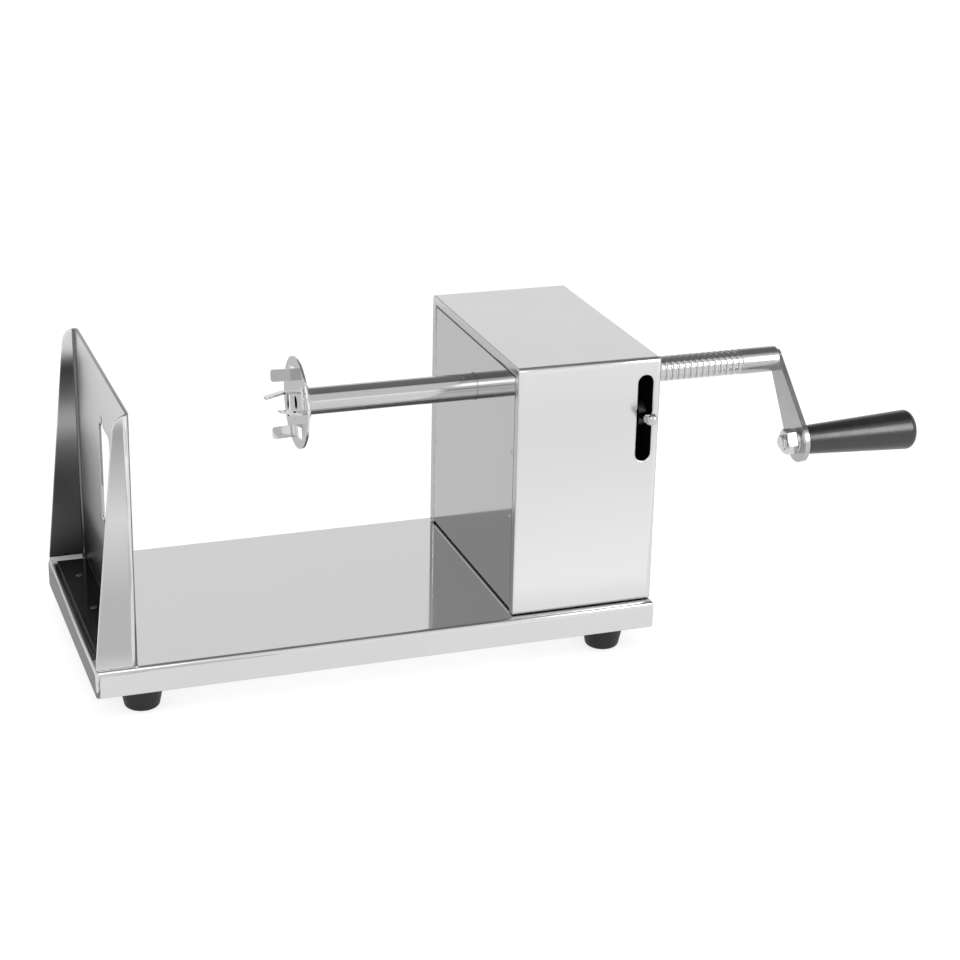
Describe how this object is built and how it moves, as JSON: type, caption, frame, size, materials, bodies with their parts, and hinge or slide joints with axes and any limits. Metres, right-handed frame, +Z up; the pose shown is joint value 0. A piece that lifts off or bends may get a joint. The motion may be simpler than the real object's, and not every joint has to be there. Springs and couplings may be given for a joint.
{
  "type": "hand cranked tornado potato cutter",
  "caption": "Bench tool with a folded tray, an upright blade plate and a housing, whose cranked hollow screw drives a pronged disc towards the blade; a lever frees the screw.",
  "frame": {"origin": "on the ground under the middle of the bounding box", "axes": "+X from the blade plate towards the crank, +Z up, -Y the side of the release knob"},
  "size_m": [0.486, 0.1628, 0.1684],
  "materials": {
    "sheet_steel": "polished",
    "screw_steel": "polished",
    "blade_steel": "ground",
    "fastener_steel": "satin",
    "spring_steel": "satin",
    "lever_steel": "satin",
    "bush_bronze": "satin",
    "foot_rubber": "satin",
    "grip_plastic": "gloss"
  },
  "bodies": {
    "base": {"base_tray": "sheet_steel", "foot_near_blade": "foot_rubber", "foot_far_blade": "foot_rubber", "foot_near_crank": "foot_rubber", "foot_far_crank": "foot_rubber", "foot_screws": "fastener_steel", "foot_nuts": "fastener_steel", "blade_plate": "sheet_steel", "blade": "blade_steel", "blade_screws": "fastener_steel", "plate_screws": "fastener_steel", "housing_cover": "sheet_steel", "housing_screws": "fastener_steel", "drive_frame": "sheet_steel", "side_plate_rivets": "fastener_steel", "frame_screws": "fastener_steel", "frame_nuts": "fastener_steel", "outer_bush": "bush_bronze", "inner_bush": "bush_bronze", "lever_pivot": "fastener_steel", "lever_pivot_clip": "fastener_steel", "lever_spring": "spring_steel"},
    "screw_unit": {"feed_tube": "screw_steel", "feed_screw": "screw_steel", "fork_disc": "screw_steel", "crank_arm": "screw_steel", "handle_bolt": "fastener_steel", "handle_nut": "fastener_steel", "handle_washer": "fastener_steel"},
    "carriage": {"fork_collar": "screw_steel"},
    "handle": {"handle_grip": "grip_plastic"},
    "lever": {"release_lever": "lever_steel", "lever_knob": "lever_steel", "half_nut": "bush_bronze", "half_nut_screws": "fastener_steel"}
  },
  "joints": [
    {"name": "feed_slide", "type": "slide", "parent": "base", "child": "carriage", "axis": [1, 0, 0], "range_m": [-0.07875, 0.06]},
    {"name": "crank_spin", "type": "hinge", "parent": "carriage", "child": "screw_unit", "pos_m": [0.1724, 0.00386, 0.136], "axis": [1, 0, 0], "range_deg": [-7560, 5760]},
    {"name": "handle_spin", "type": "hinge", "parent": "screw_unit", "child": "handle", "pos_m": [0.1724, -0.03093, 0.09736], "axis": [1, 0, 0], "continuous": true},
    {"name": "lever_release", "type": "hinge", "parent": "base", "child": "lever", "pos_m": [0.0573, 0.06087, 0.119], "axis": [1, 0, 0], "range_deg": [0, 9], "stiffness_Nm_per_rad": 3, "springref_deg": -5.73, "deforming": ["lever_spring"]}
  ],
  "couplings": [
    {"joint": "feed_slide", "follows": "crank_spin", "m_per_rad": 0.00059683}
  ]
}
